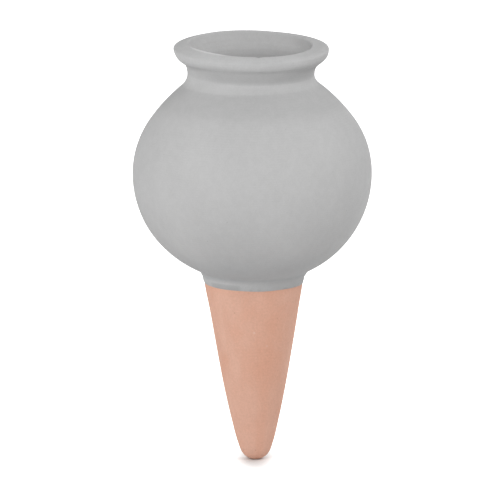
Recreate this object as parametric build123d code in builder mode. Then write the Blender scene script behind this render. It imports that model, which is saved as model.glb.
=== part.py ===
"""Self-watering plant spike: a luted earthenware globe and cone, the globe dipped in a matt grey coat.

Millimetres, +Z up. The origin is on the axis at soil level, where the grey coat ends on the spike.
The globe holds the water, and the bare porous cone below the coat lets it seep into the soil.
"""

import math
import os
from collections import namedtuple

from build123d import *

# Sizes over the coat
globe_diameter = 64.9  # widest, at the belly
neck_diameter = 34.5  # narrowest, in the groove under the lip
lip_diameter = 42.1  # widest, at the rim of the lip
mouth_diameter = 33.0  # inside the lip, at its edge
throat_diameter = 27.0  # straight bore below the flare
throat_length = 3.3  # of that bore

# Sizes of the bare clay
collar_diameter = 26.2  # spike, at soil level
spike_length = 48.6  # soil level to tip
collar_height = 1.5  # soil level to the joint of globe and spike

# Walls and layers
globe_wall = 3.5
spike_wall = 3.5
tip_floor = 5.0  # clay below the bore, where the slip pools
coat_thickness = 0.25
luting_thickness = 0.6  # slip between the two clay pieces

# Radii of the clay's outside, from the tip up
tip_radius = 4.7
flank_radius = 570.0  # slow bulge of the cone
crease_radius = 3.2  # hollow, between cone and globe
underside_radius = 28.95  # below the belly's widest line
belly_radius = 24.45  # above it
shoulder_radius = 47.5
groove_radius = 4.3  # hollow, round the neck
roll_radius = 6.5  # outside of the lip
rim_radius = 0.4  # outer edge of the lip
nose_radius = 0.35  # inner edge of the lip

# Radii and angles of the inside
throat_radius = 3.5  # from the flare into the throat
throat_edge_radius = 3.0  # from the throat into the globe
drain_edge_radius = 1.2  # from the globe into the spike
bore_tip_radius = 2.0
shoulder_start = 35.0  # degrees above the belly's widest line
rim_turn = -12.0  # heading where the lip's roll meets its rim
lip_slope = 14.0  # fall of the lip's top, outwards
coat_reach = 20.0  # how far the coat turns in under the throat

# An arc of an outline. Headings are the directions, in degrees, in which the surface faces at its two ends.
# The radius is negative where the outline is hollow.
Arc = namedtuple("Arc", "centre radius start end")

meeting = 1e-6  # ends closer than this are one point


def heading(centre, point):
    return math.degrees(math.atan2(point[1] - centre[1], point[0] - centre[0]))


def facing(angle):
    return math.cos(math.radians(angle)), math.sin(math.radians(angle))


def step(point, distance, angle):
    x, z = facing(angle)
    return point[0] + distance * x, point[1] + distance * z


def rise(distance, across):
    return math.sqrt(distance**2 - across**2)


def touching(centre, x, distance, side):
    """The centre at x that lies the distance from another centre, above it (side 1) or below it (side -1)."""
    return x, centre[1] + side * rise(distance, x - centre[0])


def level(arc, z):
    """The heading of the arc's circle at height z, on its right-hand side."""
    return math.degrees(math.asin((z - arc.centre[1]) / arc.radius))


def across_line(arc, x, radius, angle):
    """The centre at x of an arc that a straight line facing the angle joins to another arc."""
    face_x, face_z = facing(angle)
    return x, arc.centre[1] + (arc.radius - radius - (x - arc.centre[0]) * face_x) / face_z


def across_both(lower, lower_radius, upper, upper_radius):
    """The heading of the straight line that joins two arcs, one above the other, on their left-hand side."""
    turn = math.acos((lower_radius - upper_radius) / math.dist(lower, upper))
    return heading(lower, upper) + math.degrees(turn)


def flank(top, tip_z, end_radius):
    """The cone's long arc, from a point at its top to the round end that stands on the axis at tip_z."""
    end_centre = (0.0, tip_z + end_radius)
    span = math.dist(top, end_centre)
    reach = flank_radius - end_radius
    along = (reach**2 - flank_radius**2 + span**2) / (2 * span)
    up = heading(end_centre, top)
    centre = step(step(end_centre, along, up), rise(reach, along), up + 90)
    side = Arc(centre, flank_radius, heading(centre, top), heading(centre, end_centre))
    return side, Arc(end_centre, end_radius, side.end, -90.0)


def trace(arcs, grow=0.0):
    """Draws the arcs in turn into the open BuildLine, grown outwards, with straight runs where ends don't meet."""
    drawn = []
    for arc in arcs:
        radius = arc.radius + grow
        turned = arc.start if radius > 0 else arc.start + 180
        edge = CenterArc(arc.centre, abs(radius), turned, arc.end - arc.start)
        if drawn and (drawn[-1] @ 1 - edge @ 0).length > meeting:
            Line(drawn[-1] @ 1, edge @ 0)
        drawn.append(edge)
    return drawn[0] @ 0, drawn[-1] @ 1


# Outside of the cone, then of the globe, from the tip up. Each circle is placed where it touches the one below.
cone, tip = flank((collar_diameter / 2, 0.0), -spike_length, tip_radius)

crease_reach = rise(flank_radius + crease_radius, collar_height - cone.centre[1])
crease_centre = (cone.centre[0] + crease_reach, collar_height)

belly_reach = globe_diameter / 2 - coat_thickness
underside_centre = touching(
    crease_centre, belly_reach - underside_radius, underside_radius + crease_radius, 1
)
belly_z = underside_centre[1]
belly_centre = (belly_reach - belly_radius, belly_z)
shoulder_centre = step(belly_centre, belly_radius - shoulder_radius, shoulder_start)

groove_x = neck_diameter / 2 - coat_thickness + groove_radius
groove_centre = touching(shoulder_centre, groove_x, shoulder_radius + groove_radius, 1)

roll_x = lip_diameter / 2 - coat_thickness - roll_radius
roll_centre = touching(groove_centre, roll_x, roll_radius + groove_radius, 1)
rim_centre = step(roll_centre, roll_radius - rim_radius, rim_turn)

# Throat: a straight bore that begins at a rounded edge on the globe's inner wall
throat_wall = throat_diameter / 2 + coat_thickness
throat_edge_centre = touching(
    shoulder_centre,
    throat_wall + throat_edge_radius,
    shoulder_radius - globe_wall + throat_edge_radius,
    1,
)
throat_turn = heading(shoulder_centre, throat_edge_centre)
throat_edge = Arc(throat_edge_centre, throat_edge_radius, throat_turn + 180, 180.0)
throat_centre = (throat_wall + throat_radius, throat_edge_centre[1] + throat_length)

# The same outline as arcs, from the throat over the lip and down to the joint
rim = Arc(rim_centre, rim_radius, 90.0 - lip_slope, rim_turn)
nose_centre = across_line(rim, mouth_diameter / 2 + coat_thickness + nose_radius, nose_radius, rim.start)
flare = across_both(throat_centre, throat_radius, nose_centre, nose_radius)
nose = Arc(nose_centre, nose_radius, flare, rim.start)
throat = Arc(throat_centre, throat_radius, 180.0, flare)
roll = Arc(roll_centre, roll_radius, rim_turn, heading(roll_centre, groove_centre))
groove = Arc(groove_centre, -groove_radius, roll.end, heading(shoulder_centre, groove_centre))
shoulder = Arc(shoulder_centre, shoulder_radius, groove.end, shoulder_start)
belly = Arc(belly_centre, belly_radius, shoulder_start, 0.0)
underside = Arc(underside_centre, underside_radius, 0.0, heading(underside_centre, crease_centre))
crease = Arc(crease_centre, -crease_radius, underside.end, heading(cone.centre, crease_centre))
lip_to_crease = [throat, nose, rim, roll, groove, shoulder, belly, underside, crease]

# The cone's side, cut at the joint, at the top of the spike and at soil level
spike_top = collar_height - luting_thickness
foot_edge = cone._replace(start=crease.end, end=level(cone, collar_height))
luting_edge = cone._replace(start=foot_edge.end, end=level(cone, spike_top))
spike_side = cone._replace(start=luting_edge.end)
collar_side = cone._replace(start=crease.end, end=level(cone, 0.0))

# Inside of the spike and of the globe
bore_radius = collar_diameter / 2 - spike_wall
bore_side, bore_end = flank((bore_radius, spike_top), tip_floor - spike_length, bore_tip_radius)

drain_edge_centre = touching(
    underside_centre,
    bore_radius + drain_edge_radius,
    underside_radius - globe_wall + drain_edge_radius,
    -1,
)
drain_turn = heading(underside_centre, drain_edge_centre)
drain_edge = Arc(drain_edge_centre, drain_edge_radius, 180.0, drain_turn + 180)

inner_globe = [shoulder._replace(start=throat_turn), belly, underside._replace(end=drain_turn)]

# Globe: thrown shell with a shoulder, a grooved neck and a rolled lip, open below into the spike
with BuildPart() as globe:
    with BuildSketch(Plane.XZ):
        with BuildLine():
            foot_end = trace([throat_edge, *lip_to_crease, foot_edge])[-1]
            trace(inner_globe, grow=-globe_wall)
            drain_bottom = trace([drain_edge])[0]
            foot_bore = Line(drain_bottom, (bore_radius, collar_height))
            Line(foot_bore @ 1, foot_end)
        make_face()
    revolve(axis=Axis.Z)
globe.part.label = "globe"

# Spike: porous cone, open at the top and closed by a thick round tip
with BuildPart() as spike:
    with BuildSketch(Plane.XZ):
        with BuildLine():
            shoulder_edge, point = trace([spike_side, tip])
            bore_top, bore_floor = trace([bore_side, bore_end])
            Line(shoulder_edge, bore_top)
            Line(point, bore_floor)
        make_face()
    revolve(axis=Axis.Z)
spike.part.label = "spike"

# Luting ring: the slip that bonds the spike to the globe's foot, squeezed out a little into the bore
with BuildPart() as luting_ring:
    with BuildSketch(Plane.XZ):
        with BuildLine():
            ring_top, ring_bottom = trace([luting_edge])
            upper = Line(ring_top, (bore_radius, collar_height))
            lower = Line(ring_bottom, (bore_radius, spike_top))
            bulge = (bore_radius - luting_thickness / 2, (collar_height + spike_top) / 2)
            ThreePointArc(upper @ 1, bulge, lower @ 1)
        make_face()
    revolve(axis=Axis.Z)
luting_ring.part.label = "luting_ring"

# Grey coat: one skin from inside the throat, over the lip and the globe, to soil level on the spike
with BuildPart() as grey_coat:
    with BuildSketch(Plane.XZ):
        with BuildLine():
            coated = [throat_edge._replace(start=180.0 + coat_reach), *lip_to_crease, collar_side]
            clay_top, clay_bottom = trace(coated)
            skin_top, skin_bottom = trace(coated, grow=coat_thickness)
            Line(clay_top, skin_top)
            Line(clay_bottom, skin_bottom)
        make_face()
    revolve(axis=Axis.Z)
grey_coat.part.label = "grey_coat"

os.makedirs("parts", exist_ok=True)
export_step(globe.part, "parts/globe.step")
export_step(spike.part, "parts/spike.step")
export_step(luting_ring.part, "parts/luting_ring.step")
export_step(grey_coat.part, "parts/grey_coat.step")

crest = nose_centre[1] + nose_radius + coat_thickness
print(f"overall height {crest + spike_length:.2f}, crest {crest:.2f}, belly {belly_z:.2f}")
print(f"throat bore from {throat_edge_centre[1]:.2f} to {throat_centre[1]:.2f}")
print(f"bore of the spike: radius {bore_radius:.2f} at the joint")
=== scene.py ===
# Self watering spike: a matt grey watering globe on a bare terracotta spike, in a white studio
import bmesh
import bpy
import math
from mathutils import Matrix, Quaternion, Vector, noise


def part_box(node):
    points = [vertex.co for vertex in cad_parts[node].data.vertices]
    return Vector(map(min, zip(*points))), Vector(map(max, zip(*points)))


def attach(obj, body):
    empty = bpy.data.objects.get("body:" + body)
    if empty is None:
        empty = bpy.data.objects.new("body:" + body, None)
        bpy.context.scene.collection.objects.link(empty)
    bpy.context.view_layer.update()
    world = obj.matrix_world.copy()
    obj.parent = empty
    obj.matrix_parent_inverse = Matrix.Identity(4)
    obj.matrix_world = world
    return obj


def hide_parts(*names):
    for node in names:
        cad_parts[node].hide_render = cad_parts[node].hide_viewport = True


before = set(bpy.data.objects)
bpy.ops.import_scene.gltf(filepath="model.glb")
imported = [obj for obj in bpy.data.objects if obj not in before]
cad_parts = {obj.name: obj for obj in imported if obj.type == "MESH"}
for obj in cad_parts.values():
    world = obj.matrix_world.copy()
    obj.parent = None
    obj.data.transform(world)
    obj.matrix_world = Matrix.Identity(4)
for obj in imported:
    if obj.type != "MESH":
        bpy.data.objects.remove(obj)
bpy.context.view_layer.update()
mm = 0.001
print("frame loaded:", sorted(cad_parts))


# levels and edges that the shapes are measured from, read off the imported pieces
def radiusOf(co):
    return math.hypot(co.x, co.y)


lipDepth = 6 * mm                        # the rim lies within this of the lip's crest
edgeDepth = 0.1 * mm                     # and the coat's lower edge within this of its lowest point
coatPoints = [v.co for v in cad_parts["grey_coat"].data.vertices]
coatLow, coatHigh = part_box("grey_coat")
spikeLow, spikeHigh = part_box("spike")
bellyRadius = coatHigh.x
lipTop = coatHigh.z
soilLine = coatLow.z
tipBottom = spikeLow.z
jointTop = spikeHigh.z
rimEdge = max((co for co in coatPoints if co.z > lipTop - lipDepth), key=radiusOf)
rimRadius = radiusOf(rimEdge)
mouthEdge = max(coatPoints, key=lambda co: co.z)
mouthRadius = radiusOf(mouthEdge)
edgeRadii = [radiusOf(co) for co in coatPoints if co.z < soilLine + edgeDepth]
edgeInner, edgeOuter = min(edgeRadii), max(edgeRadii)


# helpers for the shapes

def ease(low, high, value):
    share = min(1.0, max(0.0, (value - low) / (high - low)))
    return share * share * (3.0 - 2.0 * share)


# rises between the first two levels and falls between the last two
def band(value, low, full, fade, high):
    return ease(low, full, value) * (1 - ease(fade, high, value))


def bump(value, middle, width):
    return math.exp(-((value - middle) / width) ** 2)


def outwardOf(co):
    return Vector((co.x, co.y, 0)) / radiusOf(co)


# a point at the radius and height, turned from the front towards the right
def aroundAxis(turn, radius, height):
    return Vector((radius * math.sin(turn), -radius * math.cos(turn), height))


# throwing ridges, one long spiral from -1 to 1
def spiral(co, spacing):
    turn = math.atan2(co.y, co.x) / math.tau
    return math.sin(math.tau * (co.z / spacing + turn))


def newObject(name, bm):
    mesh = bpy.data.meshes.new(name)
    bm.to_mesh(mesh)
    bm.free()
    piece = bpy.data.objects.new(name, mesh)
    bpy.context.scene.collection.objects.link(piece)
    return piece


# how the half sections are cut and turned
turning = {
    "cutGap": 0.0001 * mm,
    "seamMerge": 0.001 * mm,             # points closer than this are one
    "turnMerge": 0.002 * mm,
    "fineStep": 0.3 * mm,                # longest edge round the lip and the neck
    "fineFrom": lipTop - 12 * mm,
    "softenLevels": (lipTop - 11 * mm, lipTop - 3 * mm),  # the underside of the lip is smoothed
    "softenTimes": 8,
    "softenShare": 0.5,
    "sharpFrom": math.radians(60),       # edges that stay sharp
}


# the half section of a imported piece, cut at its seam
def cutSection(node):
    bm = bmesh.new()
    bm.from_mesh(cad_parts[node].data)
    bmesh.ops.remove_doubles(bm, verts=bm.verts, dist=turning["seamMerge"])
    bmesh.ops.bisect_plane(
        bm, geom=bm.verts[:] + bm.edges[:] + bm.faces[:], dist=turning["cutGap"],
        plane_co=(0, 0, 0), plane_no=(0, 1, 0), clear_inner=True, clear_outer=True)
    farSide = [v for v in bm.verts if v.co.x < -turning["seamMerge"]]
    bmesh.ops.delete(bm, geom=farSide, context="VERTS")
    return bm


# cuts the long edges of a section, finer round the lip
def splitLongEdges(bm, step):
    for edge in bm.edges[:]:
        middle = (edge.verts[0].co + edge.verts[1].co) / 2
        longest = turning["fineStep"] if middle.z > turning["fineFrom"] else step
        cuts = int(edge.calc_length() / longest)
        if cuts > 0:
            bmesh.ops.subdivide_edges(bm, edges=[edge], cuts=cuts)


def softenUnderLip(bm):
    low, high = turning["softenLevels"]
    underLip = [v for v in bm.verts if low < v.co.z < high and v.co.x > mouthRadius]
    for time in range(turning["softenTimes"]):
        bmesh.ops.smooth_vert(
            bm, verts=underLip, factor=turning["softenShare"], use_axis_x=True, use_axis_z=True)


# turns a half section round the axis into a closed piece
def lathe(bm, turns):
    bmesh.ops.spin(
        bm, geom=bm.verts[:] + bm.edges[:], cent=(0, 0, 0), axis=(0, 0, 1), dvec=(0, 0, 0),
        angle=math.tau, steps=turns, use_merge=True, use_duplicate=False)
    bmesh.ops.remove_doubles(bm, verts=bm.verts, dist=turning["turnMerge"])
    bmesh.ops.recalc_face_normals(bm, faces=bm.faces)


def smoothShade(bm):
    for face in bm.faces:
        face.smooth = True
    for edge in bm.edges:
        if len(edge.link_faces) == 2 and edge.calc_face_angle() > turning["sharpFrom"]:
            edge.smooth = False


# how the potter's hand left the clay: shared by all layers, so that they stay nested
# Levels are heights, turns go from the front to the right, and "At" is a middle and a reach.
hand = {
    "lipLeanLeft": math.radians(1.81),   # the mouth rises to the left
    "lipLeanBack": math.radians(2.74),   # and to the back
    "lipLeanLevels": (53 * mm, 62 * mm),
    "stillReach": (2 * mm, 12 * mm),     # no wobble this close to the joint
    "axisCalm": 4 * mm,                  # nor this close to the axis
    "swell": 0.14 * mm,                  # slow swelling of the wall
    "swellScale": 34.0,
    "bodyFull": 0.13 * mm,               # the body is a shade fuller than its plan
    "bodyLevels": (2 * mm, 8 * mm, 54 * mm, 58 * mm),
    "lowRightFull": 0.17 * mm,           # most of all low on the right
    "lowRightAt": (17 * mm, 10 * mm),
    "collarFull": 0.18 * mm,
    "collarAt": (-0.5 * mm, 4 * mm),
    "spikeFull": 0.16 * mm,
    "spikeAt": (-31 * mm, 11 * mm),
    "spikeRight": 0.11 * mm,             # the spike is a little fuller on the right
    "spikeRightLevels": (2 * mm, 5 * mm),
    "creaseRight": 0.32 * mm,            # the crease is filled at the sides
    "creaseLeft": 0.20 * mm,
    "creaseAt": (3.2 * mm, 0.9 * mm),
    "neckLeft": 0.15 * mm,               # the neck is a little wider on the left
    "neckLeftLevels": (36 * mm, 50 * mm, 54 * mm, 57.5 * mm),
    "sagFront": 0.52 * mm,               # the soft underside has sunk on to the spike
    "sagRight": 0.17 * mm,
    "sagLeft": -0.30 * mm,
    "sagLevels": (1.2 * mm, 3.4 * mm, 5 * mm, 19 * mm),
    "fullLevels": (57 * mm, 62 * mm),    # the lip is fuller on the right and droops on the left
    "fullInset": 1 * mm,                 # all of it this far inside the rim
    "fullUp": 0.43 * mm,
    "fullOut": 0.63 * mm,
    "fullOutLeft": 0.09 * mm,
    "droop": 0.38 * mm,
    "softRim": 0.24 * mm,                # its rim is rounder on the right
    "softRimReach": 2.2 * mm,
    "softDown": 0.8,                     # share of that which goes down
    "softLeft": 0.24 * mm,               # and rounder at the front left
    "softLeftAt": (math.radians(-52), math.radians(24)),
    "tuck": 0.37 * mm,                   # a finger ran along under the lip
    "tuckIn": 0.6,                       # share of that which goes in
    "tuckAt": (60.9 * mm, 1.57 * mm),
    "press": 0.80,                       # and pressed it into a bead in front
    "pressFacing": (0.4, 0.95),          # cosine of the turn, from no press to all of it
    "beadRadius": 16.5 * mm,             # the bead's middle line
    "beadHeight": 64.05 * mm,
    "beadSize": 2.4 * mm,
    "beadTurns": (-85, -40, 85, 110),    # degrees round the bead, from straight out
    "beadLevels": (58 * mm, 61 * mm),
    "neckIn": 0.65 * mm,                 # the neck under it is pressed in as well
    "neckInLevels": (55.9 * mm, 58.1 * mm, 58.5 * mm, 62.5 * mm),
    "neckWall": (1.39 * mm, 0.59 * mm),  # from the throat to the neck's outside, in from the mouth's edge
    "crispUp": 0.24 * mm,                # the mouth's edge stands up a little at the front left
    "crispAt": (math.radians(-46), math.radians(26)),
    "crispReach": 1.6 * mm,
    "undercut": 0.45 * mm,               # the flare is hollowed under that edge on the right
    "undercutAt": (64.2 * mm, 1.3 * mm),
    "undercutWall": 1.5 * mm,            # none of it this far out from the edge
    "nickTurn": math.radians(7),         # a small nick in the mouth's edge
    "nickDepth": 0.24 * mm,
    "nickReach": 0.9 * mm,
}
nickPlace = aroundAxis(hand["nickTurn"], mouthRadius, lipTop)


# how far the walls stand out beyond their plan
def fullnessOf(co, radius, onLeft, onRight):
    calm = ease(0, hand["axisCalm"], radius)
    away = calm * ease(*hand["stillReach"], abs(co.z - jointTop))
    full = hand["swell"] * away * noise.noise(co * hand["swellScale"])
    full += hand["bodyFull"] * band(co.z, *hand["bodyLevels"])
    full += hand["lowRightFull"] * onRight * bump(co.z, *hand["lowRightAt"])
    full += hand["collarFull"] * bump(co.z, *hand["collarAt"])
    full += hand["spikeFull"] * calm * bump(co.z, *hand["spikeAt"])
    full += hand["spikeRight"] * calm * onRight * (1 - ease(*hand["spikeRightLevels"], co.z))
    crease = onRight * hand["creaseRight"] + onLeft * hand["creaseLeft"]
    full += crease * bump(co.z, *hand["creaseAt"])
    full += hand["neckLeft"] * onLeft * band(co.z, *hand["neckLeftLevels"])
    return full


def leanOf(co):
    lean = ease(*hand["lipLeanLevels"], co.z)
    return lean * (co.y * math.tan(hand["lipLeanBack"]) - co.x * math.tan(hand["lipLeanLeft"]))


def sagOf(co, onFront, onLeft, onRight):
    sag = hand["sagFront"] * onFront + hand["sagRight"] * onRight + hand["sagLeft"] * onLeft
    return sag * band(co.z, *hand["sagLevels"])


# these return how far a point goes out and up
def lipMove(co, radius, turn, onLeft, onRight):
    lip = ease(*hand["fullLevels"], co.z) * ease(mouthRadius, rimRadius - hand["fullInset"], radius)
    out = lip * (onRight * hand["fullOut"] + onLeft * hand["fullOutLeft"])
    up = lip * (onRight * hand["fullUp"] - onLeft * hand["droop"])
    soft = hand["softRim"] * onRight + hand["softLeft"] * bump(turn, *hand["softLeftAt"])
    soft *= 1 - ease(0, hand["softRimReach"], math.hypot(radius - rimRadius, co.z - rimEdge.z))
    return out - soft, up - hand["softDown"] * soft


def beadMove(co, radius, pressed):
    beadOut, beadUp = radius - hand["beadRadius"], co.z - hand["beadHeight"]
    beadTurn = math.atan2(beadUp, beadOut)
    press = pressed * hand["press"] * max(0.0, math.hypot(beadOut, beadUp) - hand["beadSize"])
    press *= band(math.degrees(beadTurn), *hand["beadTurns"]) * ease(*hand["beadLevels"], co.z)
    return -press * math.cos(beadTurn), -press * math.sin(beadTurn)


def fingerMove(co, radius, pressed):
    wallFrom, wallTo = (mouthRadius - inset for inset in hand["neckWall"])
    outside = ease(wallFrom, wallTo, radius)
    tuck = hand["tuck"] * outside * (1 - pressed) * bump(co.z, *hand["tuckAt"])
    neckIn = hand["neckIn"] * outside * pressed * band(co.z, *hand["neckInLevels"])
    return -hand["tuckIn"] * tuck - neckIn, tuck


def mouthMove(co, radius, turn, onRight):
    edgeAway = math.hypot(radius - mouthRadius, co.z - mouthEdge.z)
    crisp = bump(turn, *hand["crispAt"]) * (1 - ease(0, hand["crispReach"], edgeAway))
    nick = 1 - ease(0, hand["nickReach"], (co - nickPlace).length)
    inside = 1 - ease(mouthRadius, mouthRadius + hand["undercutWall"], radius)
    out = hand["undercut"] * inside * onRight * bump(co.z, *hand["undercutAt"])
    return out, hand["crispUp"] * crisp - hand["nickDepth"] * nick


def handShape(co):
    radius = radiusOf(co)
    if radius == 0:
        return co.copy()
    outward = outwardOf(co)
    turn = math.atan2(outward.x, -outward.y)
    onFront = max(0.0, -outward.y) ** 2
    onLeft = max(0.0, -outward.x) ** 2
    onRight = max(0.0, outward.x) ** 2
    pressed = ease(*hand["pressFacing"], -outward.y)
    out = fullnessOf(co, radius, onLeft, onRight)
    up = leanOf(co) - sagOf(co, onFront, onLeft, onRight)
    moves = (
        lipMove(co, radius, turn, onLeft, onRight),
        beadMove(co, radius, pressed),
        fingerMove(co, radius, pressed),
        mouthMove(co, radius, turn, onRight),
    )
    for moveOut, moveUp in moves:
        out += moveOut
        up += moveUp
    return co + outward * out + Vector((0, 0, up))


# helpers for the materials

def setInput(tree, socket, value):
    if isinstance(value, bpy.types.NodeSocket):
        tree.links.new(value, socket)
    else:
        socket.default_value = value


def addMath(tree, operation, first, second=None):
    node = tree.nodes.new("ShaderNodeMath")
    node.operation = operation
    setInput(tree, node.inputs[0], first)
    if second is not None:
        setInput(tree, node.inputs[1], second)
    return node.outputs[0]


def addVector(tree, operation, vector, other=None):
    node = tree.nodes.new("ShaderNodeVectorMath")
    node.operation = operation
    tree.links.new(vector, node.inputs[0])
    if other is not None:
        node.inputs[1].default_value = other
    return node.outputs["Vector" if operation == "MULTIPLY" else "Value"]


def addRange(tree, value, fromLow, fromHigh, toLow=0.0, toHigh=1.0, smooth=True):
    node = tree.nodes.new("ShaderNodeMapRange")
    node.interpolation_type = "SMOOTHSTEP" if smooth else "LINEAR"
    node.inputs["From Min"].default_value = fromLow
    node.inputs["From Max"].default_value = fromHigh
    node.inputs["To Min"].default_value = toLow
    node.inputs["To Max"].default_value = toHigh
    tree.links.new(value, node.inputs["Value"])
    return node.outputs["Result"]


# a soft band between four levels
def addBand(tree, value, low, full, fade, high):
    rising = addRange(tree, value, low, full)
    return addMath(tree, "MULTIPLY", rising, addRange(tree, value, fade, high, 1.0, 0.0))


def addNoise(tree, vector, scale, detail, roughness=0.55):
    node = tree.nodes.new("ShaderNodeTexNoise")
    node.inputs["Detail"].default_value = detail
    node.inputs["Roughness"].default_value = roughness
    setInput(tree, node.inputs["Scale"], scale)
    tree.links.new(vector, node.inputs["Vector"])
    return node.outputs["Fac"]


def mixColour(tree, share, first, second, blend="MIX"):
    node = tree.nodes.new("ShaderNodeMix")
    node.data_type = "RGBA"
    node.blend_type = blend
    sockets = [s for s in node.inputs if s.enabled]
    for socket, value in zip(sockets, (share, first, second)):
        setInput(tree, socket, (*value, 1) if isinstance(value, tuple) else value)
    return [s for s in node.outputs if s.enabled][0]


def scaleColour(tree, colour, tone):
    node = tree.nodes.new("ShaderNodeVectorMath")
    node.operation = "SCALE"
    tree.links.new(colour, node.inputs[0])
    tree.links.new(tone, node.inputs["Scale"])
    return node.outputs["Vector"]


# a tone with a share of its light lost where the mask is 1
def darken(tree, tone, mask, share):
    return addMath(tree, "MULTIPLY", tone, addRange(tree, mask, 0.0, 1.0, 1.0, 1 - share))


# specks of the grain, lighter and darker by the share
def addSpecks(tree, grain, share):
    return addRange(tree, grain, 0.25, 0.75, 1 - share, 1 + share, smooth=False)


def addBumps(tree, shader, layers):
    normal = None
    for height, distance, strength in layers:
        node = tree.nodes.new("ShaderNodeBump")
        node.inputs["Distance"].default_value = distance
        node.inputs["Strength"].default_value = strength
        tree.links.new(height, node.inputs["Height"])
        if normal:
            tree.links.new(normal, node.inputs["Normal"])
        normal = node.outputs["Normal"]
    tree.links.new(normal, shader.inputs["Normal"])


def partsOf(tree, vector):
    node = tree.nodes.new("ShaderNodeSeparateXYZ")
    tree.links.new(vector, node.inputs[0])
    return node.outputs


# degrees from the front towards the right
def turnOf(tree, parts):
    front = addMath(tree, "MULTIPLY", parts["Y"], -1.0)
    return addMath(tree, "DEGREES", addMath(tree, "ARCTAN2", parts["X"], front))


# groups that more than one clay or coat uses

def newGroup(name, values, outputs):
    group = bpy.data.node_groups.new(name, "ShaderNodeTree")
    group.interface.new_socket("Vector", in_out="INPUT", socket_type="NodeSocketVector")
    for value in values:
        group.interface.new_socket(value, in_out="INPUT", socket_type="NodeSocketFloat")
    for output in outputs:
        group.interface.new_socket(output, in_out="OUTPUT", socket_type="NodeSocketFloat")
    entry = group.nodes.new("NodeGroupInput").outputs
    leave = group.nodes.new("NodeGroupOutput").inputs
    return group, entry, leave


# soft patches, drawn out along the axis by Stretch
def makePatches():
    group, entry, leave = newGroup("softPatches", ["Scale", "Stretch"], ["Patch"])
    parts = partsOf(group, entry["Vector"])
    drawn = group.nodes.new("ShaderNodeCombineXYZ")
    group.links.new(parts["X"], drawn.inputs["X"])
    group.links.new(parts["Y"], drawn.inputs["Y"])
    group.links.new(addMath(group, "DIVIDE", parts["Z"], entry["Stretch"]), drawn.inputs["Z"])
    cloud = addNoise(group, drawn.outputs[0], entry["Scale"], detail=4.0, roughness=0.6)
    group.links.new(addRange(group, cloud, 0.3, 0.7), leave["Patch"])
    return group


# fine grain of the body, and the pits that burnt out in the kiln
def makeGrain():
    group, entry, leave = newGroup("clayGrain", ["Scale", "Pitting"], ["Height", "Pits", "Grain"])
    grain = addNoise(group, entry["Vector"], entry["Scale"], detail=3.0, roughness=0.7)
    cells = group.nodes.new("ShaderNodeTexVoronoi")  # twice as coarse as the grain
    group.links.new(entry["Vector"], cells.inputs["Vector"])
    group.links.new(addMath(group, "MULTIPLY", entry["Scale"], 0.5), cells.inputs["Scale"])
    draw = group.nodes.new("ShaderNodeSeparateColor")
    group.links.new(cells.outputs["Color"], draw.inputs[0])
    chosen = addMath(group, "LESS_THAN", draw.outputs["Red"], entry["Pitting"])
    pit = addRange(group, cells.outputs["Distance"], 0.08, 0.3, 1.0, 0.0)
    pits = addMath(group, "MULTIPLY", pit, chosen)
    group.links.new(pits, leave["Pits"])
    group.links.new(grain, leave["Grain"])
    group.links.new(addMath(group, "SUBTRACT", grain, pits), leave["Height"])
    return group


# fine rings that turning leaves, with a slow wander, fading in and out
def makeTurning():
    group, entry, leave = newGroup("turningRings", ["Spacing", "Wander"], ["Ring"])
    drift = addNoise(group, entry["Vector"], 60.0, detail=2.0)
    along = addMath(group, "DIVIDE", partsOf(group, entry["Vector"])["Z"], entry["Spacing"])
    along = addMath(group, "ADD", along, addMath(group, "MULTIPLY", drift, entry["Wander"]))
    wave = addMath(group, "SINE", addMath(group, "MULTIPLY", along, math.tau))
    wave = addRange(group, wave, -1.0, 1.0, smooth=False)
    faint = addRange(group, addNoise(group, entry["Vector"], 90.0, detail=2.0), 0.35, 0.65)
    group.links.new(addMath(group, "MULTIPLY", wave, faint), leave["Ring"])
    return group


softPatches = makePatches()
clayGrain = makeGrain()
turningRings = makeTurning()


def newMaterial(name):
    material = bpy.data.materials.new(name)
    material.use_nodes = True
    tree = material.node_tree
    place = tree.nodes.new("ShaderNodeTexCoord").outputs["Object"]
    return material, tree, tree.nodes["Principled BSDF"], place


def useGroup(tree, group, place, **values):
    node = tree.nodes.new("ShaderNodeGroup")
    node.node_tree = group
    tree.links.new(place, node.inputs["Vector"])
    for name, value in values.items():
        node.inputs[name].default_value = value
    return node.outputs


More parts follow.
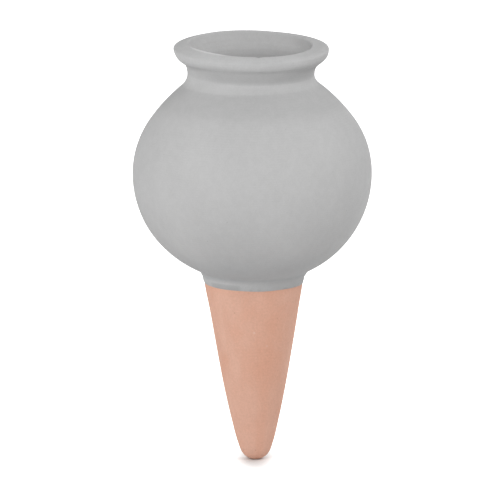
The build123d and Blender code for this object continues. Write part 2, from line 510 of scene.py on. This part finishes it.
# the coat's finish; each painted shade is the share of its light that it loses where shade falls
greyFinish = {
    "light": (0.525, 0.525, 0.525),
    "dark": (0.500, 0.500, 0.501),
    "patches": {"Scale": 42.0, "Stretch": 1.6},
    "mottling": {"Scale": 520.0, "Stretch": 1.0},
    "mottle": 0.03,
    "rings": {"Spacing": 0.65 * mm, "Wander": 0.9},
    "ringTone": 0.016,
    "ringDepth": 0.02 * mm,
    "grain": {"Scale": 2600.0, "Pitting": 0.006},
    "grainDepth": 0.03 * mm,
    "speck": 0.045,
    "pit": (0.40, 0.40, 0.40),
    "collarShade": (0.450, 0.456, 0.457),       # painted shade on the collar under the globe, where the coat runs out on the spike
    "collarShadeReach": 2.6 * mm,
    "smudge": (0.36, 0.365, 0.37),       # smeared along that edge
    "smudgeScale": 260.0,
    "smudgeFrom": (0.56, 0.68),
    "smudgeLevels": (0.2 * mm, 1.1 * mm),
    "smudgeShare": 0.6,
    "creaseShadeTint": (0.900, 0.921, 0.933), # painted shade, cooler and darker, on the globe's underside and in the crease
    "creaseShadeLevels": (2.0 * mm, 3.6 * mm, 4.0 * mm, 14.0 * mm),
    # painted shade on the shoulder below the neck
    "shoulderShade": 0.085,
    "shoulderLevels": (46 * mm, 52 * mm, 54 * mm, 56.4 * mm),
    "lipWall": (15.6 * mm, 16.2 * mm),   # between the throat and the groove
    # painted shade in the groove under the lip
    "grooveShade": 0.08,
    "grooveLevels": (57.8 * mm, 59.0 * mm, 61.6 * mm, 62.6 * mm),
    # painted shade down the throat inside the mouth
    "throatShade": 0.19,
    "throatLevels": (40.0 * mm, 50.0 * mm, 59.5 * mm, 64.5 * mm),
    "darkPatchPlace": (-7.8 * mm, -10.7 * mm, 1.2 * mm),  # a darker patch low on the collar's front left
    "darkPatchReach": (3.2 * mm, 6.2 * mm),
    "darkPatchTop": (1.4 * mm, 2.4 * mm),
    "darkPatchShare": 0.155,
    "edgeHighlightReach": (5.0 * mm, 8.5 * mm),   # painted highlight along the mouth's edge, where it stands up
    "edgeHighlightLevels": (lipTop - 0.12 * mm, lipTop + 0.08 * mm),
    "edgeHighlightShare": 0.2,
    "roughness": (0.90, 0.78),
    "specular": 0.15,
    "bumpStrength": 0.5,
}


# painted shade in the groove, the throat and on the shoulder, a darker patch low on the collar's front
# left and a painted highlight along the mouth's edge, each with the share of light it takes away (the
# highlight's is negative)
def coatShades(tree, place, level, finish):
    lipPlane = (math.tan(hand["lipLeanLeft"]), -math.tan(hand["lipLeanBack"]), 1)
    slant = addVector(tree, "DOT_PRODUCT", place, lipPlane)
    axisAway = addVector(tree, "LENGTH", addVector(tree, "MULTIPLY", place, (1, 1, 0)))
    groove = addBand(tree, slant, *finish["grooveLevels"])
    groove = addMath(tree, "MULTIPLY", groove, addRange(tree, axisAway, *finish["lipWall"]))
    throat = addBand(tree, level, *finish["throatLevels"])
    throat = addMath(tree, "MULTIPLY", throat, addRange(tree, axisAway, *finish["lipWall"], 1.0, 0.0))
    shoulder = addBand(tree, level, *finish["shoulderLevels"])
    darkPatchAway = addVector(tree, "DISTANCE", place, finish["darkPatchPlace"])
    darkPatch = addRange(tree, darkPatchAway, *finish["darkPatchReach"], 1.0, 0.0)
    darkPatch = addMath(tree, "MULTIPLY", darkPatch, addRange(tree, level, *finish["darkPatchTop"], 1.0, 0.0))
    # a painted highlight along the front left of the mouth's edge
    raisedEdge = aroundAxis(hand["crispAt"][0], mouthRadius, lipTop)
    edgeHighlightAway = addVector(tree, "DISTANCE", place, raisedEdge)
    edgeHighlight = addRange(tree, slant, *finish["edgeHighlightLevels"])
    edgeHighlight = addMath(tree, "MULTIPLY", edgeHighlight, addRange(tree, edgeHighlightAway, *finish["edgeHighlightReach"], 1.0, 0.0))
    return [
        (groove, finish["grooveShade"]),
        (throat, finish["throatShade"]),
        (shoulder, finish["shoulderShade"]),
        (darkPatch, finish["darkPatchShare"]),
        (edgeHighlight, -finish["edgeHighlightShare"]),
    ]


def makeGrey(name, finish):
    material, tree, shader, place = newMaterial(name)
    level = partsOf(tree, place)["Z"]
    patch = useGroup(tree, softPatches, place, **finish["patches"])["Patch"]
    mottle = useGroup(tree, softPatches, place, **finish["mottling"])["Patch"]
    rings = useGroup(tree, turningRings, place, **finish["rings"])["Ring"]
    grain = useGroup(tree, clayGrain, place, **finish["grain"])
    colour = mixColour(tree, patch, finish["dark"], finish["light"])
    # painted shade on the collar, under the globe
    collarShade = addRange(tree, level, soilLine, soilLine + finish["collarShadeReach"], 1.0, 0.0)
    colour = mixColour(tree, collarShade, colour, finish["collarShade"])
    smear = addRange(tree, addNoise(tree, place, finish["smudgeScale"], detail=2.0), *finish["smudgeFrom"])
    smearLow = addRange(tree, level, *finish["smudgeLevels"], finish["smudgeShare"], 0.0)
    colour = mixColour(tree, addMath(tree, "MULTIPLY", smear, smearLow), colour, finish["smudge"])
    # painted shade on the globe's underside and in the crease
    crease = addBand(tree, level, *finish["creaseShadeLevels"])
    colour = mixColour(tree, crease, colour, finish["creaseShadeTint"], "MULTIPLY")
    tone = addSpecks(tree, grain["Grain"], finish["speck"])
    shades = [(mottle, finish["mottle"]), (rings, finish["ringTone"])]
    for mask, share in shades + coatShades(tree, place, level, finish):
        tone = darken(tree, tone, mask, share)
    colour = mixColour(tree, grain["Pits"], scaleColour(tree, colour, tone), finish["pit"])
    roughness = addRange(tree, patch, 0.0, 1.0, *finish["roughness"], smooth=False)
    tree.links.new(colour, shader.inputs["Base Color"])
    tree.links.new(roughness, shader.inputs["Roughness"])
    shader.inputs["Specular IOR Level"].default_value = finish["specular"]
    strength = finish["bumpStrength"]
    addBumps(tree, shader, [
        (rings, finish["ringDepth"], strength), (grain["Height"], finish["grainDepth"], strength)])
    return material


# the clays' finishes
terracottaFinish = {
    "body": (0.702, 0.408, 0.304),
    "pale": (0.755, 0.468, 0.362),       # lime bloom
    "warm": (0.690, 0.362, 0.252),
    "streaks": {"Scale": 150.0, "Stretch": 7.0},
    "blotches": {"Scale": 70.0, "Stretch": 1.5},
    "bloomShare": (0.25, 1.0),           # of the streaks, from warm to pale blotches
    "warmSpots": 0.5,
    "topWarm": 0.2,                      # warmer under the coat
    "topReach": 2.2 * mm,
    "tipPale": 0.4,                      # more bloom round the tip
    "tipReach": (8 * mm, 13 * mm),
    "paleStreak": 0.2,                   # two long streaks down the front
    "paleTurns": (-44, -26, -14, -2),
    "warmStreak": 0.28,
    "warmTurns": (-2, 8, 20, 36),
    "grain": {"Scale": 1900.0, "Pitting": 0.015},
    "grainDepth": 0.05 * mm,
    "grainStrength": 0.55,
    "speck": 0.07,
    "pit": (0.42, 0.22, 0.15),
    "pitShare": 0.5,
    "fleck": (0.80, 0.60, 0.50),
    "flecks": {"Scale": 1140.0, "Pitting": 0.03},
    "fleckShare": 0.5,
    "rings": {"Spacing": 0.9 * mm, "Wander": 0.7},
    "ringDepth": 0.05 * mm,
    "ringStrength": 0.25,
    "roughness": (0.92, 0.80),
    "specular": 0.2,
}
bisqueFinish = dict(
    terracottaFinish,
    body=(0.640, 0.360, 0.262), pale=(0.690, 0.430, 0.330), warm=(0.620, 0.325, 0.225),
    streaks={"Scale": 90.0, "Stretch": 7.0}, blotches={"Scale": 50.0, "Stretch": 1.5},
    tipPale=0.0, paleStreak=0.0, warmStreak=0.0,
    grain={"Scale": 1700.0, "Pitting": 0.07}, pit=(0.38, 0.20, 0.14),
    fleck=(0.74, 0.54, 0.44), flecks={"Scale": 1020.0, "Pitting": 0.03},
    rings={"Spacing": 2.2 * mm, "Wander": 0.7}, ringStrength=0.8)
slipFinish = dict(
    bisqueFinish,
    body=(0.600, 0.370, 0.282), pale=(0.66, 0.45, 0.36), grain={"Scale": 1700.0, "Pitting": 0.03},
    rings={"Spacing": 0.5 * mm, "Wander": 0.7}, ringStrength=0.3)


def makeClay(name, finish):
    material, tree, shader, place = newMaterial(name)
    parts = partsOf(tree, place)
    level, turn = parts["Z"], turnOf(tree, parts)
    streak = useGroup(tree, softPatches, place, **finish["streaks"])["Patch"]
    blotch = useGroup(tree, softPatches, place, **finish["blotches"])["Patch"]
    rings = useGroup(tree, turningRings, place, **finish["rings"])["Ring"]
    grain = useGroup(tree, clayGrain, place, **finish["grain"])
    flecks = useGroup(tree, clayGrain, place, **finish["flecks"])["Pits"]
    bloom = addMath(tree, "MULTIPLY", streak, addRange(tree, blotch, 0.2, 0.9, *finish["bloomShare"]))
    colour = mixColour(tree, bloom, finish["body"], finish["pale"])
    warmTop = addRange(tree, level, soilLine - finish["topReach"], soilLine, 0.0, finish["topWarm"])
    warmSpots = addRange(tree, blotch, 0.0, 0.45, finish["warmSpots"], 0.0)
    colour = mixColour(tree, addMath(tree, "MAXIMUM", warmTop, warmSpots), colour, finish["warm"])
    tipLow, tipHigh = (tipBottom + reach for reach in finish["tipReach"])
    tip = addRange(tree, level, tipLow, tipHigh, finish["tipPale"], 0.0)
    colour = mixColour(tree, tip, colour, finish["pale"])
    for tint in ("pale", "warm"):
        mask = addBand(tree, turn, *finish[tint + "Turns"])
        mask = addMath(tree, "MULTIPLY", mask, finish[tint + "Streak"])
        colour = mixColour(tree, mask, colour, finish[tint])
    colour = scaleColour(tree, colour, addSpecks(tree, grain["Grain"], finish["speck"]))
    flecks = addMath(tree, "MULTIPLY", flecks, finish["fleckShare"])
    colour = mixColour(tree, flecks, colour, finish["fleck"])
    pits = addMath(tree, "MULTIPLY", grain["Pits"], finish["pitShare"])
    colour = mixColour(tree, pits, colour, finish["pit"])
    roughness = addRange(tree, blotch, 0.0, 1.0, *finish["roughness"], smooth=False)
    tree.links.new(colour, shader.inputs["Base Color"])
    tree.links.new(roughness, shader.inputs["Roughness"])
    shader.inputs["Specular IOR Level"].default_value = finish["specular"]
    addBumps(tree, shader, [
        (rings, finish["ringDepth"], finish["ringStrength"]),
        (grain["Height"], finish["grainDepth"], finish["grainStrength"])])
    return material


mattGrey = makeGrey("mattGrey", greyFinish)
terracotta = makeClay("terracotta", terracottaFinish)
bisque = makeClay("bisque", bisqueFinish)
slip = makeClay("slip", slipFinish)
print("materials made")


# pieces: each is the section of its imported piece, turned again and shaped by hand
def turnedPiece(look, node, material, ownShape):
    bm = cutSection(node)
    splitLongEdges(bm, look["step"])
    softenUnderLip(bm)
    lathe(bm, look["turns"])
    for vert in bm.verts:
        vert.co = handShape(ownShape(vert.co))
    smoothShade(bm)
    piece = newObject(look["name"], bm)
    piece.data.materials.append(material)
    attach(piece, "root")
    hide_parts(node)
    print(look["name"], "has", len(piece.data.polygons), "faces")


coatLook = {
    "name": "greyCoat",
    "slot": "matt_grey",
    "turns": 200,
    "step": 1.0 * mm,                    # longest edge of the section
    "edgeRise": 0.26 * mm,               # the coat's edge stands a little high, most of all on the left
    "edgeTilt": 0.18 * mm,
    "edgeSides": 0.28 * mm,              # and higher at the sides than in front
    "edgeWave": 0.10 * mm,
    "edgeWaveScale": 120.0,
    "edgeReach": 1.5 * mm,               # how far up the edge is shaped
    "edgeThin": 0.5,                     # share of the thickness lost at the edge
    "claySlope": 0.14,                   # how the clay under it widens upwards
    "skinFrom": 0.1 * mm,                # the coat's outside lies beyond this from the clay
    "ridge": 0.02 * mm,                  # throwing ridges in the mouth
    "ridgeSpacing": 1.25 * mm,
    "ridgeLevels": (54 * mm, 57 * mm, lipTop - 2 * mm, lipTop - 0.5 * mm),
}


def coatShape(co):
    radius = radiusOf(co)
    outward = outwardOf(co)
    out = up = 0.0
    low = 1 - ease(soilLine, soilLine + coatLook["edgeReach"], co.z)
    if low > 0:
        wave = noise.noise(outward * (radius * coatLook["edgeWaveScale"]))
        up = coatLook["edgeRise"] + coatLook["edgeWave"] * wave
        up += coatLook["edgeSides"] * outward.x**2 - coatLook["edgeTilt"] * outward.x
        clay = edgeInner + (co.z - soilLine) * coatLook["claySlope"]
        if radius > clay + coatLook["skinFrom"]:
            out = -coatLook["edgeThin"] * (edgeOuter - edgeInner)
    if radius < mouthRadius:
        ridges = coatLook["ridge"] * spiral(co, coatLook["ridgeSpacing"])
        ridges *= band(co.z, *coatLook["ridgeLevels"])
        return co + outward * (low * out + ridges) + Vector((0, 0, low * up))
    return co + outward * (low * out) + Vector((0, 0, low * up))


globeLook = {
    "name": "clayGlobe",
    "slot": "bisque",
    "turns": 200,
    "step": 2.0 * mm,
    "wall": 2 * mm,                      # the inner wall lies deeper than this
    "drain": 12 * mm,                    # and outside this radius
    "ridge": 0.10 * mm,                  # throwing ridges on it
    "ridgeSpacing": 4.5 * mm,
    "ridgeLevels": (8 * mm, 52 * mm),
}


def globeShape(co):
    depth = bellyRadius - (co - Vector((0, 0, bellyRadius))).length
    low, high = globeLook["ridgeLevels"]
    if depth > globeLook["wall"] and radiusOf(co) > globeLook["drain"] and low < co.z < high:
        return co + outwardOf(co) * (globeLook["ridge"] * spiral(co, globeLook["ridgeSpacing"]))
    return co


spikeLook = {
    "name": "bareSpike",
    "slot": "terracotta",
    "turns": 160,
    "step": 0.8 * mm,
    "drawn": 0.26 * mm,                  # the tip is drawn in a little above its end
    "drawnAt": (2.9 * mm, 2.2 * mm),
}


def spikeShape(co):
    radius = radiusOf(co)
    if radius == 0:
        return co
    drawn = spikeLook["drawn"] * bump(co.z - tipBottom, *spikeLook["drawnAt"])
    return co - outwardOf(co) * (drawn * ease(0, hand["axisCalm"], radius))


turnedPiece(coatLook, "grey_coat", mattGrey, coatShape)
turnedPiece(globeLook, "globe", bisque, globeShape)
turnedPiece(spikeLook, "spike", terracotta, spikeShape)

# the luting ring is shown as packed
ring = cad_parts["luting_ring"]
ring.data.materials.clear()
ring.data.materials.append(slip)


# studio
studio = {
    "floorSize": 6.0,
    "floorColour": (0.80, 0.80, 0.80),
    "floorLift": (3 * mm, 30 * mm),      # over which the glow seen directly rises from the tip out to open floor, which the camera sees as white; the grey left round the tip is painted shadow on top of the real one
    "shadowNarrow": 3.4,                 # the painted shadow is longer towards the camera than it is wide
    "ambient": 0.325,
    "lampDistance": 0.9,
}

lamps = {
    "leftSide": {"azimuth": -88, "elevation": 1, "size": 0.7, "power": 3.33},
    "frontLeft": {"azimuth": -22, "elevation": 27, "size": 0.3, "power": 3.02},
    "rightFront": {"azimuth": 45, "elevation": 37, "size": 0.2, "power": 2.02},
    "rightBack": {"azimuth": 120, "elevation": 30, "size": 0.7, "power": 2.80},
}


def seenDirectly(tree):
    path = tree.nodes.new("ShaderNodeLightPath").outputs
    seen = addMath(tree, "MAXIMUM", path["Is Camera Ray"], path["Is Glossy Ray"])
    return addMath(tree, "MAXIMUM", seen, path["Is Transmission Ray"])


def makeFloor():
    bm = bmesh.new()
    bmesh.ops.create_grid(bm, x_segments=8, y_segments=8, size=studio["floorSize"] / 2)
    bmesh.ops.translate(bm, verts=bm.verts, vec=(0, 0, tipBottom))
    floor = newObject("floor", bm)
    material, tree, shader, place = newMaterial("paleFloor")
    tree.nodes.remove(shader)
    paper = tree.nodes.new("ShaderNodeBsdfDiffuse")
    paper.inputs["Color"].default_value = (*studio["floorColour"], 1)
    glow = tree.nodes.new("ShaderNodeEmission")
    both = tree.nodes.new("ShaderNodeAddShader")
    # the glow is missing near the tip, leaving a painted shadow there as well as the real one
    across = addVector(tree, "MULTIPLY", place, (studio["shadowNarrow"], 1, 0))
    lift = addRange(tree, addVector(tree, "LENGTH", across), *studio["floorLift"])
    tree.links.new(addMath(tree, "MULTIPLY", seenDirectly(tree), lift), glow.inputs["Strength"])
    tree.links.new(paper.outputs[0], both.inputs[0])
    tree.links.new(glow.outputs[0], both.inputs[1])
    tree.links.new(both.outputs[0], tree.nodes["Material Output"].inputs["Surface"])
    floor.data.materials.append(material)


def makeWorld():
    world = bpy.data.worlds.new("studioWorld")
    world.use_nodes = True
    bpy.context.scene.world = world
    tree = world.node_tree
    sky = tree.nodes["Background"]
    sky.inputs["Color"].default_value = (1, 1, 1, 1)
    level = addRange(tree, seenDirectly(tree), 0.0, 1.0, studio["ambient"], 1.0, smooth=False)
    tree.links.new(level, sky.inputs["Strength"])


# a direction in degrees from the front to the right, and up
def towards(azimuth, elevation):
    level = math.cos(math.radians(elevation))
    return aroundAxis(math.radians(azimuth), level, math.sin(math.radians(elevation)))


# stands a lamp or the camera so that it looks back along the direction
def standAt(name, data, location, direction, roll=0.0):
    holder = bpy.data.objects.new(name, data)
    holder.location = location
    holder.rotation_mode = "QUATERNION"
    holder.rotation_quaternion = direction.to_track_quat("Z", "Y") @ Quaternion((0, 0, 1), roll)
    bpy.context.scene.collection.objects.link(holder)
    return holder


def makeLamp(name, place):
    lamp = bpy.data.lights.new(name, "AREA")
    lamp.shape = "DISK"
    lamp.size = place["size"]
    lamp.energy = place["power"]
    direction = towards(place["azimuth"], place["elevation"])
    standAt(name, lamp, direction * studio["lampDistance"] + Vector((0, 0, bellyRadius)), direction)


makeFloor()
makeWorld()
for lampName, lampPlace in lamps.items():
    makeLamp(lampName, lampPlace)
print("studio lit by", len(lamps), "lamps")


# camera
view = {
    "elevation": 10.3,
    "distance": 5.0,
    "roll": math.radians(-0.67),         # the spike leans a little to the left in the picture
    "target": (-0.84 * mm, 0, 9.31 * mm),
    "pixelsPerMetre": 3670.5,            # at the target
    "framePixels": 500,
    "sensor": 36.0,
}


def makeCamera():
    camera = bpy.data.cameras.new("camera")
    camera.sensor_width = view["sensor"]
    camera.lens = view["sensor"] * view["distance"] * view["pixelsPerMetre"] / view["framePixels"]
    back = towards(0, view["elevation"])
    location = Vector(view["target"]) + back * view["distance"]
    bpy.context.scene.camera = standAt("camera", camera, location, back, view["roll"])


makeCamera()
bpy.context.scene.view_settings.view_transform = "Standard"
